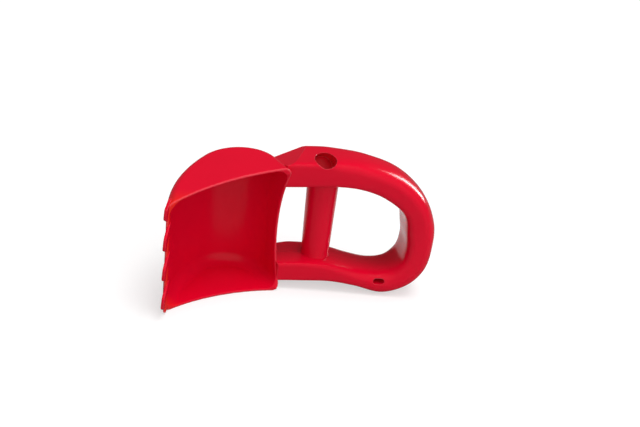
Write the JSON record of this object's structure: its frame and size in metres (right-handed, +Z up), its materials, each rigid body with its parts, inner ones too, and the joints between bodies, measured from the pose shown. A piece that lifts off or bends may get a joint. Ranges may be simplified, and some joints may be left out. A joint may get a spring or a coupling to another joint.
{
  "type": "hand-held sand digger",
  "caption": "Hand-held sand digger: a toothed scoop on a hollow loop handle with an upright grip that is open at the top.",
  "frame": {"origin": "under the middle of the toy's outside size, on the floor it stands on", "axes": "+X along the handle, away from the teeth; -Y the side the scoop opens to; +Z up"},
  "size_m": [0.259, 0.1134, 0.1337],
  "materials": {
    "scoop_plastic": "glossy moulded",
    "handle_plastic": "glossy moulded",
    "grip_plastic": "glossy moulded"
  },
  "bodies": {
    "root": {"scoop": "scoop_plastic", "handle_front": "handle_plastic", "handle_back": "handle_plastic", "grip": "grip_plastic"}
  },
  "joints": []
}
